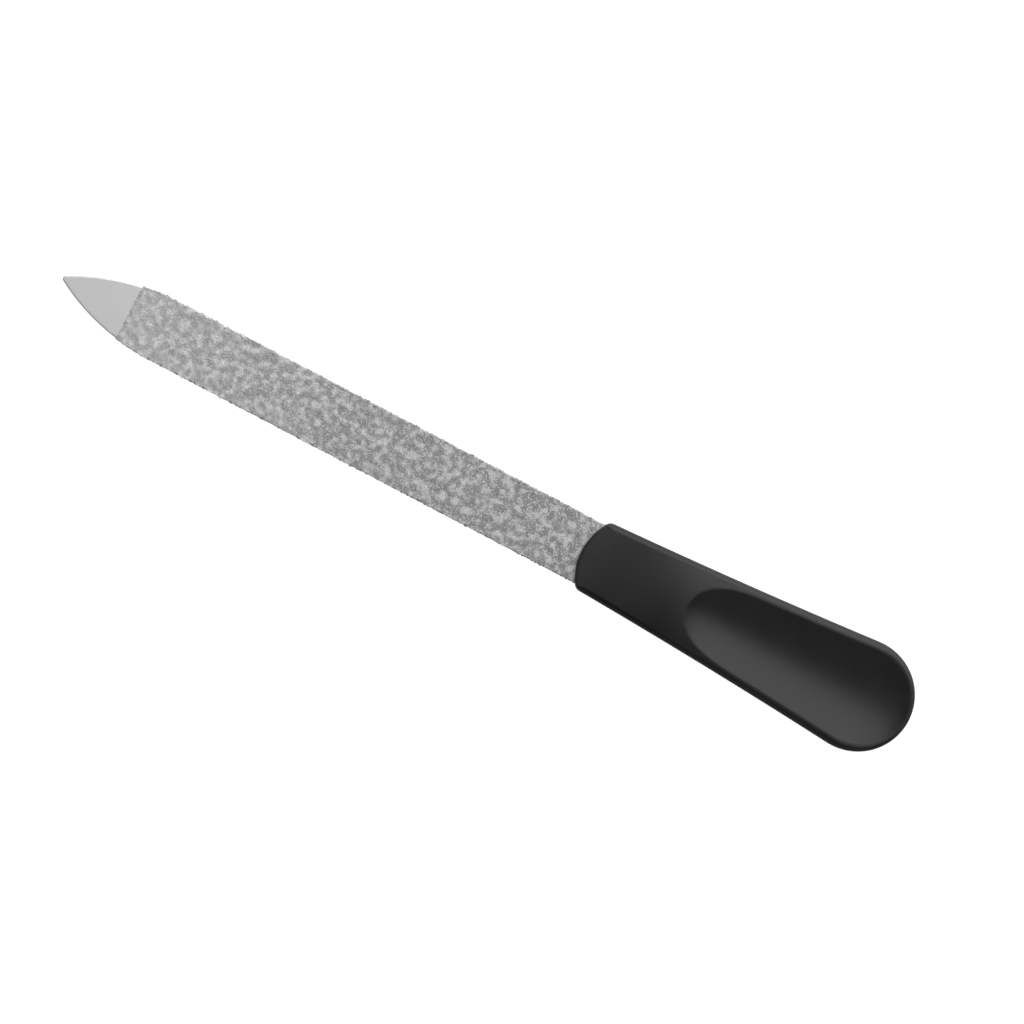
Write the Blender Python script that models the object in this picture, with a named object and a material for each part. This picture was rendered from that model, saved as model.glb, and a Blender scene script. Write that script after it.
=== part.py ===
"""Nail file: a coated steel blade whose tang is locked inside a moulded handle.

Metres, +Z up. The file points along +X. Its origin is the centre of its bounding box, at the
bottom: the flat land under the handle's swell lies on z = 0. Every piece is modelled about the
file's mid-plane, and the empty that carries them all lifts that plane to its height.
"""

import math
import random
from dataclasses import dataclass

import bmesh
import bpy
from mathutils import Vector

# Whole file
OVERALL_LENGTH = 0.1300
HANDLE_LENGTH = 0.0502

# Steel blank: blade, root and tang, stamped in one piece
BLADE_WIDTH = 0.0087
STEEL_THICKNESS = 0.0010
TIP_LENGTH = 0.0150
TIP_NOSE_RADIUS = 0.0004
GROUND_EDGE_WIDTH = 0.00020
GROUND_EDGE_DEPTH = 0.00020
ROOT_REACH = 0.0014
TANG_WIDTH = 0.0060
TANG_LENGTH = 0.0280
TANG_CORNER_RADIUS = 0.0012
SHOULDER_RADIUS = 0.0008
EDGE_BREAK = 0.0001
LOCK_HOLE_DIAMETER = 0.0026
LOCK_HOLE_SETBACK = 0.0060
LOCK_HOLE_PITCH = 0.0110

# Abrasive coats, bonded to the two faces and lapped round the edges
BARE_TIP_LENGTH = 0.0103
COAT_TUCK = 0.0026
BOND_GAP = 0.00005
EDGE_COAT_THICKNESS = 0.00010
COARSE_COAT_THICKNESS = 0.00022
COARSE_RELIEF = 0.00010
COARSE_GRAIN_PITCH = 0.00075
FINE_COAT_THICKNESS = 0.00016
FINE_RELIEF = 0.00005
FINE_GRAIN_PITCH = 0.00095
GRAIN_JITTER_SHARE = 0.3
COARSE_SEED = 11
FINE_SEED = 23

# Handle outline, seen from above
FRONT_WALL = 0.00056
HANDLE_END_WIDTH = 0.01558
FRONT_ARC_RADIUS = 0.0074
CREST_CORNER_RADIUS = 0.0003
FLARE_START_SHARE = 0.71

# Handle thickness, crown and rounded edges
HANDLE_THICKNESS = 0.0052
FRONT_THICKNESS = 0.0036
END_THICKNESS = 0.0038
CROWN_RISE = 0.00045
FRONT_CROWN_RISE = 0.00008
CROWN_GROWTH_POWER = 3
EDGE_ROUND_WIDTH = 0.0009
EDGE_ROUND_HEIGHT = 0.0010
FRONT_ROUND_SHARE = 0.6
REST_LAND_DEPTH = 0.0001

# Thumb scoop and finger scoop
SCOOP_SETBACK = 0.0162
SCOOP_FRONT_LENGTH = 0.0110
SCOOP_FRONT_POWER = 3.6
TROUGH_FRONT_RADIUS = 0.0100
TROUGH_END_RADIUS = 0.0260
RIM_WIDTH = 0.0011
END_RIM_WIDTH = 0.0006

# Fit of the tang in the moulding, and how far a cutter runs past what it cuts
SLOT_GAP = 0.0001
CUT_OVERRUN = 0.0010
MERGE_DISTANCE = 0.000001

# Facets
NOSE_STEPS = 3
OGIVE_STEPS = 14
CORNER_STEPS = 4
HOLE_STEPS = 24
FRONT_ARC_STEPS = 7
SIDE_STEPS = 20
END_ARC_STEPS = 14
ROUND_STEPS = 4
CROWN_RING_SHARES = (0.2, 0.4, 0.6, 0.8)
SCOOP_STEPS_ALONG = 40
SCOOP_STEPS_ACROSS = 18
TANGENT_PASSES = 12
SHARP_ANGLE = math.radians(15)

# Places along the file that follow from the sizes
TIP_X = OVERALL_LENGTH / 2
REAR_X = -OVERALL_LENGTH / 2
HANDLE_FRONT_X = REAR_X + HANDLE_LENGTH
COAT_FRONT_X = TIP_X - BARE_TIP_LENGTH
COAT_REAR_X = HANDLE_FRONT_X - COAT_TUCK
SHOULDER_X = COAT_REAR_X - ROOT_REACH
TANG_END_X = SHOULDER_X - TANG_LENGTH
MOUTH_WIDTH = BLADE_WIDTH + 2 * (BOND_GAP + EDGE_COAT_THICKNESS + SLOT_GAP)
HANDLE_FRONT_WIDTH = MOUTH_WIDTH + 2 * FRONT_WALL
SCOOP_FRONT_X = HANDLE_FRONT_X - SCOOP_SETBACK
SCOOP_END_X = REAR_X + END_RIM_WIDTH
END_RADIUS = HANDLE_END_WIDTH / 2
END_CENTRE_X = REAR_X + END_RADIUS
MID_HEIGHT = HANDLE_THICKNESS / 2 - REST_LAND_DEPTH


@dataclass
class Finish:
    """Colour, roughness and metallic value of one material."""

    name: str
    colour: tuple
    roughness: float
    metallic: float

    def material(self):
        made = bpy.data.materials.new(self.name)
        made.use_nodes = True
        shader = made.node_tree.nodes["Principled BSDF"]
        shader.inputs["Base Color"].default_value = (*self.colour, 1)
        shader.inputs["Roughness"].default_value = self.roughness
        shader.inputs["Metallic"].default_value = self.metallic
        made.diffuse_color = (*self.colour, 1)
        return made


SATIN_STEEL = Finish("satin_steel", (0.53, 0.53, 0.53), 0.38, 1.0)
COARSE_GRIT = Finish("coarse_grit", (0.35, 0.35, 0.35), 0.55, 0.6)
FINE_GRIT = Finish("fine_grit", (0.40, 0.40, 0.40), 0.50, 0.6)
BLACK_PLASTIC = Finish("black_plastic", (0.012, 0.012, 0.013), 0.42, 0.0)


@dataclass
class EdgePoint:
    """A point on an outline seen from above, with the direction that faces out there.

    share scales the rounding of the edge at the point, and spine_x is the place on the axis that
    the rings inside the outline shrink towards.
    """

    x: float
    y: float
    out_x: float
    out_y: float
    share: float = 1.0
    spine_x: float = 0.0

    def mirrored(self):
        return EdgePoint(self.x, -self.y, self.out_x, -self.out_y, self.share, self.spine_x)

    def inset(self, distance):
        return Vector((self.x - self.out_x * distance, self.y - self.out_y * distance))


def clear_scene():
    for obj in list(bpy.data.objects):
        bpy.data.objects.remove(obj, do_unlink=True)


def arc_points(centre_x, centre_y, radius, start, end, steps, hollow=False):
    """Points on an arc, facing away from its centre, or towards it where the corner is hollow."""
    facing = -1 if hollow else 1
    points = []
    for step in range(steps + 1):
        angle = start + (end - start) * step / steps
        across, up = math.cos(angle), math.sin(angle)
        points.append(
            EdgePoint(centre_x + radius * across, centre_y + radius * up, facing * across, facing * up)
        )
    return points


def closed_outline(half):
    """The whole outline, from a half that runs from the front by +Y to the rear, on the axis at both ends."""
    return half + [point.mirrored() for point in reversed(half[1:-1])]


def smooth_step(value):
    held = min(max(value, 0.0), 1.0)
    return held * held * (3 - 2 * held)


def finish_object(name, bm, finish, carrier):
    """Turns the bmesh into a named object on the carrier, with its faces pointing out."""
    bmesh.ops.remove_doubles(bm, verts=bm.verts[:], dist=MERGE_DISTANCE)
    bmesh.ops.recalc_face_normals(bm, faces=bm.faces[:])
    mesh = bpy.data.meshes.new(name)
    bm.to_mesh(mesh)
    bm.free()
    obj = bpy.data.objects.new(name, mesh)
    bpy.context.scene.collection.objects.link(obj)
    obj.parent = carrier
    if finish:
        mesh.materials.append(finish.material())
    return obj


def cut(target, cutter):
    """Takes the cutter out of the target, and leaves the cutter as a guide that isn't rendered."""
    modifier = target.modifiers.new("cut_" + cutter.name, "BOOLEAN")
    modifier.operation = "DIFFERENCE"
    modifier.solver = "EXACT"
    modifier.object = cutter
    cutter.hide_render = True
    cutter.display_type = "WIRE"


def keep_cuts(obj):
    """Applies the object's cuts, then shades it smooth up to its true edges."""
    bpy.context.view_layer.update()
    graph = bpy.context.evaluated_depsgraph_get()
    mesh = bpy.data.meshes.new_from_object(obj.evaluated_get(graph))
    mesh.name = obj.name
    obj.modifiers.clear()
    obj.data = mesh
    mesh.shade_smooth()
    mesh.set_sharp_from_angle(angle=SHARP_ANGLE)


def add_ring(bm, points):
    return [bm.verts.new(point) for point in points]


def bridge_rings(bm, rings):
    """Walls between each ring of vertices and the next, ring by ring."""
    for lower, upper in zip(rings, rings[1:]):
        count = len(lower)
        for index in range(count):
            after = (index + 1) % count
            bm.faces.new((lower[index], lower[after], upper[after], upper[index]))


# Steel blank


def ogive_radius(half_width):
    """Radius of the tip's side arcs, tangent to the blade's sides and to the round nose."""
    reach = TIP_LENGTH - TIP_NOSE_RADIUS
    return (reach**2 + half_width**2 - TIP_NOSE_RADIUS**2) / (2 * (half_width - TIP_NOSE_RADIUS))


def blade_half_width(x):
    """Half-width of the steel at x, between the root and the round nose."""
    half_width = BLADE_WIDTH / 2
    past_tangent = x - (TIP_X - TIP_LENGTH)
    if past_tangent <= 0:
        return half_width
    radius = ogive_radius(half_width)
    return math.sqrt(radius**2 - past_tangent**2) - (radius - half_width)


def tip_half():
    """The tip's half outline, from the nose to where the sides run parallel."""
    half_width = BLADE_WIDTH / 2
    radius = ogive_radius(half_width)
    tangent_x = TIP_X - TIP_LENGTH
    nose_x = TIP_X - TIP_NOSE_RADIUS
    meeting = math.atan2(radius - half_width, nose_x - tangent_x)
    nose = arc_points(nose_x, 0, TIP_NOSE_RADIUS, 0, meeting, NOSE_STEPS)
    quarter = math.pi / 2
    ogive = arc_points(tangent_x, half_width - radius, radius, meeting, quarter, OGIVE_STEPS)
    return nose[:-1] + ogive


def tang_half(grow=0.0):
    """The half outline from the shoulder to the tang's end, grown by a clearance for the slot."""
    half_blade = BLADE_WIDTH / 2 + grow
    half_tang = TANG_WIDTH / 2 + grow
    shoulder_x = SHOULDER_X - grow
    end_x = TANG_END_X - grow
    outer = min(SHOULDER_RADIUS, (half_blade - half_tang) / 2, ROOT_REACH)
    quarter = math.pi / 2
    shoulder = arc_points(
        shoulder_x + outer, half_blade - outer, outer, quarter, 2 * quarter, CORNER_STEPS
    )
    root = arc_points(
        shoulder_x - outer, half_tang + outer, outer, 0, -quarter, CORNER_STEPS, hollow=True
    )
    corner_y = half_tang - TANG_CORNER_RADIUS
    corner = arc_points(
        end_x + TANG_CORNER_RADIUS, corner_y, TANG_CORNER_RADIUS, quarter, 2 * quarter, CORNER_STEPS
    )
    return shoulder + root + corner + [EdgePoint(end_x, 0, -1, 0)]


def ground_point(point, width):
    """The point that lies the given width inside the edge, held on its own side of the axis."""
    moved = point.inset(width)
    half_width = BLADE_WIDTH / 2
    radius = ogive_radius(half_width)
    reach = math.sqrt((radius - width) ** 2 - (radius - half_width) ** 2)
    inner_tip_x = TIP_X - TIP_LENGTH + reach
    side = 1 if point.y >= 0 else -1
    if moved.x > inner_tip_x or moved.y * side <= 0 < abs(point.y):
        return Vector((min(moved.x, inner_tip_x), 0))
    return moved


def lock_hole_places():
    first = SHOULDER_X - LOCK_HOLE_SETBACK
    return (first, first - LOCK_HOLE_PITCH)


def make_round_pin(name, x, radius, half_height, carrier):
    """A round cutter or guide that stands on the axis at x."""
    bm = bmesh.new()
    bmesh.ops.create_cone(
        bm,
        cap_ends=True,
        segments=HOLE_STEPS,
        radius1=radius,
        radius2=radius,
        depth=2 * half_height,
    )
    bmesh.ops.translate(bm, verts=bm.verts[:], vec=(x, 0, 0))
    return finish_object(name, bm, None, carrier)


def make_steel_blank(carrier):
    """Blade, root and tang: a flat plate with ground edges on the blade and lock holes in the tang."""
    tip = tip_half()
    tang = tang_half()
    coat_end = EdgePoint(COAT_REAR_X, BLADE_WIDTH / 2, 0, 1)
    outline = closed_outline(tip + [coat_end] + tang)
    on_blade = [point.x >= COAT_REAR_X for point in outline]
    widths = [GROUND_EDGE_WIDTH if ground else EDGE_BREAK for ground in on_blade]
    depths = [GROUND_EDGE_DEPTH if ground else EDGE_BREAK for ground in on_blade]
    half_height = STEEL_THICKNESS / 2
    bm = bmesh.new()
    rings = []
    for side in (-1, 1):
        face = [ground_point(point, width) for point, width in zip(outline, widths)]
        flat = [(place.x, place.y, side * half_height) for place in face]
        edge = [
            (point.x, point.y, side * (half_height - depth)) for point, depth in zip(outline, depths)
        ]
        rings += [flat, edge] if side < 0 else [edge, flat]
    made = [add_ring(bm, ring) for ring in rings]
    bridge_rings(bm, made)
    bm.faces.new(made[0])
    bm.faces.new(made[-1])
    blank = finish_object("steel_blank", bm, SATIN_STEEL, carrier)
    for number, x in enumerate(lock_hole_places(), start=1):
        radius = LOCK_HOLE_DIAMETER / 2
        cut(blank, make_round_pin(f"lock_hole_{number}", x, radius, STEEL_THICKNESS, carrier))
    keep_cuts(blank)
    return blank


# Abrasive coats


def offset_section(half_width, edge_distance, face_distance):
    """Corners of the blank's half section moved out: edge foot, edge top and face corner, as (y, z).

    The edge stands upright, the ground bevel leans in, and the face is level. Each is moved out by
    its own distance, the bevel with the face, and the corners are where the moved lines meet.
    """
    half_height = STEEL_THICKNESS / 2
    slant = math.hypot(GROUND_EDGE_WIDTH, GROUND_EDGE_DEPTH)
    out_y = GROUND_EDGE_DEPTH / slant
    out_z = GROUND_EDGE_WIDTH / slant
    edge_y = half_width + edge_distance
    face_z = half_height + face_distance
    bevel = out_y * half_width + out_z * (half_height - GROUND_EDGE_DEPTH) + face_distance
    edge_top_z = (bevel - out_y * edge_y) / out_z
    face_corner_y = (bevel - out_z * face_z) / out_y
    return (edge_y, BOND_GAP / 2), (edge_y, edge_top_z), (face_corner_y, face_z)


def across_shares(count):
    """Places across the face, from one corner to the other, as shares from 1 to -1."""
    return [1 - 2 * step / count for step in range(count + 1)]


@dataclass
class Coat:
    """One face's abrasive coat; side is 1 on the front face and -1 on the back."""

    name: str
    thickness: float
    relief: float
    pitch: float
    seed: int
    side: int
    finish: Finish


COATS = (
    Coat(
        "coarse_abrasive",
        COARSE_COAT_THICKNESS,
        COARSE_RELIEF,
        COARSE_GRAIN_PITCH,
        COARSE_SEED,
        1,
        COARSE_GRIT,
    ),
    Coat(
        "fine_abrasive",
        FINE_COAT_THICKNESS,
        FINE_RELIEF,
        FINE_GRAIN_PITCH,
        FINE_SEED,
        -1,
        FINE_GRIT,
    ),
)


def coat_rings(coat):
    """Rings round the coat's section at each station, with the grains' relief on its outer side."""
    dice = random.Random(coat.seed)
    length = COAT_FRONT_X - COAT_REAR_X
    stations = round(length / coat.pitch)
    across = across_shares(round(BLADE_WIDTH / coat.pitch))
    jitter = GRAIN_JITTER_SHARE * coat.pitch
    rings = []
    for station in range(stations + 1):
        x = COAT_REAR_X + length * station / stations
        inside = 0 < station < stations
        half_width = blade_half_width(x)
        face_distance = BOND_GAP + coat.thickness
        outer = offset_section(half_width, BOND_GAP + EDGE_COAT_THICKNESS, face_distance)
        inner = offset_section(half_width, BOND_GAP, BOND_GAP)
        ring = [(x, *outer[0]), (x, *outer[1])]
        for share in across:
            rise = dice.uniform(-coat.relief, coat.relief) if abs(share) < 1 else 0
            shift = dice.uniform(-jitter, jitter) if inside else 0
            ring.append((x + shift, outer[2][0] * share, outer[2][1] + rise))
        ring += [(x, -outer[1][0], outer[1][1]), (x, -outer[0][0], outer[0][1])]
        ring += [(x, -place[0], place[1]) for place in inner]
        ring += [(x, place[0], place[1]) for place in reversed(inner)]
        rings.append(ring)
    return rings


def make_coat(coat, carrier):
    """One face's abrasive coat: a thin shell over the face and down the edges to the mid-plane."""
    bm = bmesh.new()
    made = [add_ring(bm, [(x, y, coat.side * z) for x, y, z in ring]) for ring in coat_rings(coat)]
    bridge_rings(bm, made)
    bm.faces.new(made[0])
    bm.faces.new(made[-1])
    return finish_object(coat.name, bm, coat.finish, carrier)


# Handle


def front_corner():
    """Centre and radius of the rounding between the handle's front arc and its side."""
    radius = EDGE_ROUND_WIDTH + CREST_CORNER_RADIUS
    centre_y = HANDLE_FRONT_WIDTH / 2 - radius
    reach = math.sqrt((FRONT_ARC_RADIUS - radius) ** 2 - centre_y**2)
    return HANDLE_FRONT_X - FRONT_ARC_RADIUS + reach, centre_y, radius


def end_tangent():
    """Where the flared side meets the round end without a kink: x, half-width and slope there."""
    start_x = front_corner()[0]
    slope = 0.0
    for _ in range(TANGENT_PASSES):
        lean = math.atan(slope)
        meet_x = END_CENTRE_X + END_RADIUS * math.sin(lean)
        meet_y = END_RADIUS * math.cos(lean)
        growth = (meet_y - HANDLE_FRONT_WIDTH / 2) / (start_x - meet_x)
        slope = (2 - FLARE_START_SHARE) * growth
    return meet_x, meet_y, slope


def side_half_width(x):
    """Half-width of the handle's flared side at x, and its slope there."""
    start_x = front_corner()[0]
    meet_x, meet_y, _ = end_tangent()
    run = start_x - meet_x
    place = (start_x - x) / run
    growth = meet_y - HANDLE_FRONT_WIDTH / 2
    share = FLARE_START_SHARE * place + (1 - FLARE_START_SHARE) * place**2
    slope = growth / run * (FLARE_START_SHARE + 2 * (1 - FLARE_START_SHARE) * place)
    return HANDLE_FRONT_WIDTH / 2 + growth * share, slope


def handle_half():
    """The handle's half outline, from the middle of its front arc by +Y to the middle of its end."""
    quarter = math.pi / 2
    corner_x, corner_y, corner_radius = front_corner()
    arc_x = HANDLE_FRONT_X - FRONT_ARC_RADIUS
    turn = math.atan2(corner_y, corner_x - arc_x)
    front = arc_points(arc_x, 0, FRONT_ARC_RADIUS, 0, turn, FRONT_ARC_STEPS)
    corner = arc_points(corner_x, corner_y, corner_radius, turn, quarter, CORNER_STEPS)
    meet_x, _, slope = end_tangent()
    side = []
    for step in range(1, SIDE_STEPS):
        x = corner_x + (meet_x - corner_x) * step / SIDE_STEPS
        half_width, lean = side_half_width(x)
        norm = math.hypot(lean, 1)
        side.append(EdgePoint(x, half_width, lean / norm, 1 / norm))
    end = arc_points(
        END_CENTRE_X, 0, END_RADIUS, quarter - math.atan(slope), 2 * quarter, END_ARC_STEPS
    )
    for point in front:
        point.share = FRONT_ROUND_SHARE
    for step, point in enumerate(corner):
        point.share = FRONT_ROUND_SHARE + (1 - FRONT_ROUND_SHARE) * step / CORNER_STEPS
    narrowing = 1 - END_RIM_WIDTH / RIM_WIDTH
    for point in end:
        point.share = 1 - narrowing * max(-point.out_x, 0)
    half = front + corner[1:] + side + end
    set_spine(half, corner_x)
    half[0].y = half[-1].y = 0
    return half


def set_spine(half, corner_x):
    """Gives each point of the half outline its place on the axis, in order from front to end."""
    spine_front_x = HANDLE_FRONT_X - HANDLE_FRONT_WIDTH / 2
    blend_x = HANDLE_FRONT_X - HANDLE_FRONT_WIDTH
    for point in half:
        if point.x >= corner_x:
            point.spine_x = spine_front_x
        elif point.x > blend_x:
            share = (corner_x - point.x) / (corner_x - blend_x)
            point.spine_x = spine_front_x + (blend_x - spine_front_x) * share
        else:
            point.spine_x = max(point.x, END_CENTRE_X)


def crown_rise(x):
    """How far the crown stands above the crest of the handle's edge at x."""
    share = smooth_step((HANDLE_FRONT_X - x) / SCOOP_SETBACK) ** CROWN_GROWTH_POWER
    return FRONT_CROWN_RISE + (CROWN_RISE - FRONT_CROWN_RISE) * share


def crest_height(x):
    """Height of the crest, where the rounded edge ends, above the mid-plane at x."""
    swell = HANDLE_THICKNESS / 2
    if x > SCOOP_FRONT_X:
        share = smooth_step((HANDLE_FRONT_X - x) / SCOOP_SETBACK)
        top = FRONT_THICKNESS / 2 + (swell - FRONT_THICKNESS / 2) * share
        return top - crown_rise(x)
    share = smooth_step((SCOOP_FRONT_X - x) / (SCOOP_FRONT_X - REAR_X))
    rear = END_THICKNESS / 2
    crest = swell - CROWN_RISE
    return crest + (rear - crest) * share


def crown_height(x, y):
    """Height of the uncut crown above the mid-plane: arched across, and domed over the round end."""
    if x < END_CENTRE_X:
        place = math.hypot(x - END_CENTRE_X, y) / (END_RADIUS - EDGE_ROUND_WIDTH)
    else:
        place = abs(y) / (side_half_width(x)[0] - EDGE_ROUND_WIDTH)
    return crest_height(x) + crown_rise(x) * max(1 - place**2, 0)


def edge_rings(outline):
    """Rings from the mid-plane up the side and over the rounded edge, to the crest."""
    rings = [[(point.x, point.y, 0) for point in outline]]
    for step in range(ROUND_STEPS + 1):
        angle = math.pi / 2 * step / ROUND_STEPS
        ring = []
        for point in outline:
            place = point.inset(EDGE_ROUND_WIDTH * point.share * (1 - math.cos(angle)))
            crest = point.inset(EDGE_ROUND_WIDTH * point.share)
            height = crown_height(crest.x, crest.y)
            fall = min(EDGE_ROUND_HEIGHT, height) * (1 - math.sin(angle))
            ring.append((place.x, place.y, height - fall))
        rings.append(ring)
    return rings


def crown_rings(outline):
    """Rings inside the crest that close in on the axis and climb to the crown."""
    rings = []
    for inward in CROWN_RING_SHARES:
        ring = []
        for point in outline:
            crest = point.inset(EDGE_ROUND_WIDTH * point.share)
            x = crest.x + (point.spine_x - crest.x) * inward
            y = crest.y * (1 - inward)
            ring.append((x, y, crown_height(x, y)))
        rings.append(ring)
    return rings


def fill_across(bm, ring):
    """Closes a ring that is symmetric about the axis with faces that run from side to side."""
    count = len(ring)
    bm.faces.new((ring[0], ring[1], ring[-1]))
    for index in range(1, count // 2 - 1):
        bm.faces.new((ring[index], ring[index + 1], ring[-index - 1], ring[-index]))
    middle = count // 2
    bm.faces.new((ring[middle - 1], ring[middle], ring[middle + 1]))


def make_handle_body(carrier):
    """The handle before its scoops and slot are cut: a flared, crowned bar with rounded edges."""
    outline = closed_outline(handle_half())
    upper = edge_rings(outline) + crown_rings(outline)
    lower = [[(x, y, -min(z, MID_HEIGHT)) for x, y, z in ring] for ring in upper[1:]]
    bm = bmesh.new()
    made = [add_ring(bm, ring) for ring in lower[::-1] + upper]
    bridge_rings(bm, made)
    fill_across(bm, made[0])
    fill_across(bm, made[-1])
    return finish_object("handle", bm, BLACK_PLASTIC, carrier)


def scoop_front_share(x):
    """Square of the scoop's width at x as a share of its full width, below zero ahead of its front."""
    place = (SCOOP_FRONT_X - x) / SCOOP_FRONT_LENGTH
    if place >= 1:
        return 1.0
    return 1 - (1 - place) ** SCOOP_FRONT_POWER


def trough_radius(x):
    """Radius of the scoop's section at x, which opens out from the scoop's front to the handle's end."""
    share = min(max((SCOOP_FRONT_X - x) / (SCOOP_FRONT_X - REAR_X), 0.0), 1.0)
    return TROUGH_FRONT_RADIUS + (TROUGH_END_RADIUS - TROUGH_FRONT_RADIUS) * share


def scoop_floor(x):
    """Height of the scoop's floor on the axis at x, so that its trough meets the crown at the rim."""
    end_radius = END_RADIUS - RIM_WIDTH
    from_end = x - (SCOOP_END_X + end_radius)
    meet_x = end_tangent()[0]
    full = END_RADIUS if x < meet_x else side_half_width(x)[0]
    rim_half = full - RIM_WIDTH
    crest_half = full - EDGE_ROUND_WIDTH
    square = rim_half**2
    if from_end < 0:
        square = end_radius**2 - from_end**2
    front = scoop_front_share(x)
    rim = crest_height(x) + crown_rise(x) * (1 - front * (rim_half / crest_half) ** 2)
    return rim - front * square / (2 * trough_radius(x))


def make_scoop_cutter(name, side, carrier):
    """A block whose working side is the scoop's trough: hollow across, rising at its front and end."""
    front_x = SCOOP_FRONT_X + CUT_OVERRUN
    run = front_x - REAR_X + CUT_OVERRUN
    half_width = END_RADIUS
    top = HANDLE_THICKNESS
    bm = bmesh.new()
    grid = []
    for step in range(SCOOP_STEPS_ALONG + 1):
        share = step / SCOOP_STEPS_ALONG
        x = front_x - run * (1 - math.cos(math.pi * share)) / 2
        floor = scoop_floor(x)
        radius = trough_radius(x)
        row = []
        for across in across_shares(SCOOP_STEPS_ACROSS):
            y = half_width * across
            row.append(bm.verts.new((x, y, side * (floor + y**2 / (2 * radius)))))
        grid.append(row)
    for row, after in zip(grid, grid[1:]):
        for index in range(SCOOP_STEPS_ACROSS):
            bm.faces.new((row[index], row[index + 1], after[index + 1], after[index]))
    bmesh.ops.recalc_face_normals(bm, faces=bm.faces[:])
    extruded = bmesh.ops.extrude_face_region(bm, geom=bm.faces[:])
    for element in extruded["geom"]:
        if isinstance(element, bmesh.types.BMVert):
            element.co.z = side * top
    return finish_object(name, bm, None, carrier)


def make_mouth_cutter(carrier):
    """The slot's mouth: room for the root of the blade with both coats on it."""
    rear_x = COAT_REAR_X - SLOT_GAP
    front_x = HANDLE_FRONT_X + CUT_OVERRUN
    base = STEEL_THICKNESS / 2 + BOND_GAP + SLOT_GAP
    top = base + COARSE_COAT_THICKNESS + COARSE_RELIEF
    bottom = -base - FINE_COAT_THICKNESS - FINE_RELIEF
    bm = bmesh.new()
    bmesh.ops.create_cube(bm, size=1)
    bmesh.ops.scale(bm, verts=bm.verts[:], vec=(front_x - rear_x, MOUTH_WIDTH, top - bottom))
    bmesh.ops.translate(bm, verts=bm.verts[:], vec=((front_x + rear_x) / 2, 0, (top + bottom) / 2))
    return finish_object("slot_mouth_cutter", bm, None, carrier)


def make_slot_cutter(carrier):
    """The tang's own shape with clearance, and with the lock posts left standing in its holes."""
    half_width = BLADE_WIDTH / 2 + SLOT_GAP
    half_height = STEEL_THICKNESS / 2 + SLOT_GAP
    front_x = HANDLE_FRONT_X + CUT_OVERRUN
    front = [EdgePoint(front_x, 0, 1, 0), EdgePoint(front_x, half_width, 0, 1)]
    outline = closed_outline(front + tang_half(SLOT_GAP))
    bm = bmesh.new()
    bridge = [
        add_ring(bm, [(point.x, point.y, z) for point in outline]) for z in (-half_height, half_height)
    ]
    bridge_rings(bm, bridge)
    bm.faces.new(bridge[0])
    bm.faces.new(bridge[1])
    slot = finish_object("slot_cutter", bm, None, carrier)
    post_radius = LOCK_HOLE_DIAMETER / 2 - SLOT_GAP
    for number, x in enumerate(lock_hole_places(), start=1):
        cut(slot, make_round_pin(f"lock_post_{number}", x, post_radius, STEEL_THICKNESS, carrier))
    return slot


def make_handle(carrier):
    """The moulded handle: body, thumb scoop above, finger scoop below, and the slot with its posts."""
    handle = make_handle_body(carrier)
    cut(handle, make_scoop_cutter("thumb_scoop_cutter", 1, carrier))
    cut(handle, make_scoop_cutter("finger_scoop_cutter", -1, carrier))
    cut(handle, make_mouth_cutter(carrier))
    cut(handle, make_slot_cutter(carrier))
    keep_cuts(handle)
    return handle


def main():
    clear_scene()
    carrier = bpy.data.objects.new("nail_file", None)
    bpy.context.scene.collection.objects.link(carrier)
    carrier.location.z = MID_HEIGHT
    make_steel_blank(carrier)
    for coat in COATS:
        make_coat(coat, carrier)
    make_handle(carrier)


main()
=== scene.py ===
"""Looks of a nail file: a satin steel blade under bonded grit, in a moulded black handle.

Lengths are metres in the frame's own axes: +X towards the blade's tip, +Y across the file and +Z out
of its coarse face. The file lies on z = 0, on the swell of its handle.
"""

import logging
import math
from collections.abc import Callable, Iterator
from contextlib import contextmanager
from dataclasses import dataclass
from enum import Enum

import bpy
import numpy as np
from mathutils import Euler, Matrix, Quaternion, Vector, noise


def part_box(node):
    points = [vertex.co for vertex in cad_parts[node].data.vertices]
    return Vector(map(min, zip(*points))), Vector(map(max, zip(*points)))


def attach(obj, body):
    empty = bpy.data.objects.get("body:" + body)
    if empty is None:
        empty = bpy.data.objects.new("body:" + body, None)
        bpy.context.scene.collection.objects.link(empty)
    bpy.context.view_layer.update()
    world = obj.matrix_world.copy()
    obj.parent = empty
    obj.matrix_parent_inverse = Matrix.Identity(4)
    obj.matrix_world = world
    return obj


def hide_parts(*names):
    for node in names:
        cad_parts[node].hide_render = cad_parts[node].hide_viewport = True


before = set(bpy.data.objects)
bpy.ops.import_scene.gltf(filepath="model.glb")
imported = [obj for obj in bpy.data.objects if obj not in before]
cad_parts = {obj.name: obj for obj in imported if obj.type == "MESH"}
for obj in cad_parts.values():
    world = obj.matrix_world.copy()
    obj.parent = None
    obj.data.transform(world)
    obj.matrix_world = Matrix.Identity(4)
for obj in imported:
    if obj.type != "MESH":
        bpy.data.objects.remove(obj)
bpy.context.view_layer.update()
BODY = "root"
MERGE_DISTANCE = 1e-6
SMOOTH_ANGLE = math.radians(28)

log = logging.getLogger("nail_file")
Colour = tuple[float, float, float]
Size = tuple[float, float, float]


class Face(Enum):
    """The two faces of the file, by the way that each looks."""

    FRONT = 1
    BACK = -1


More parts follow.
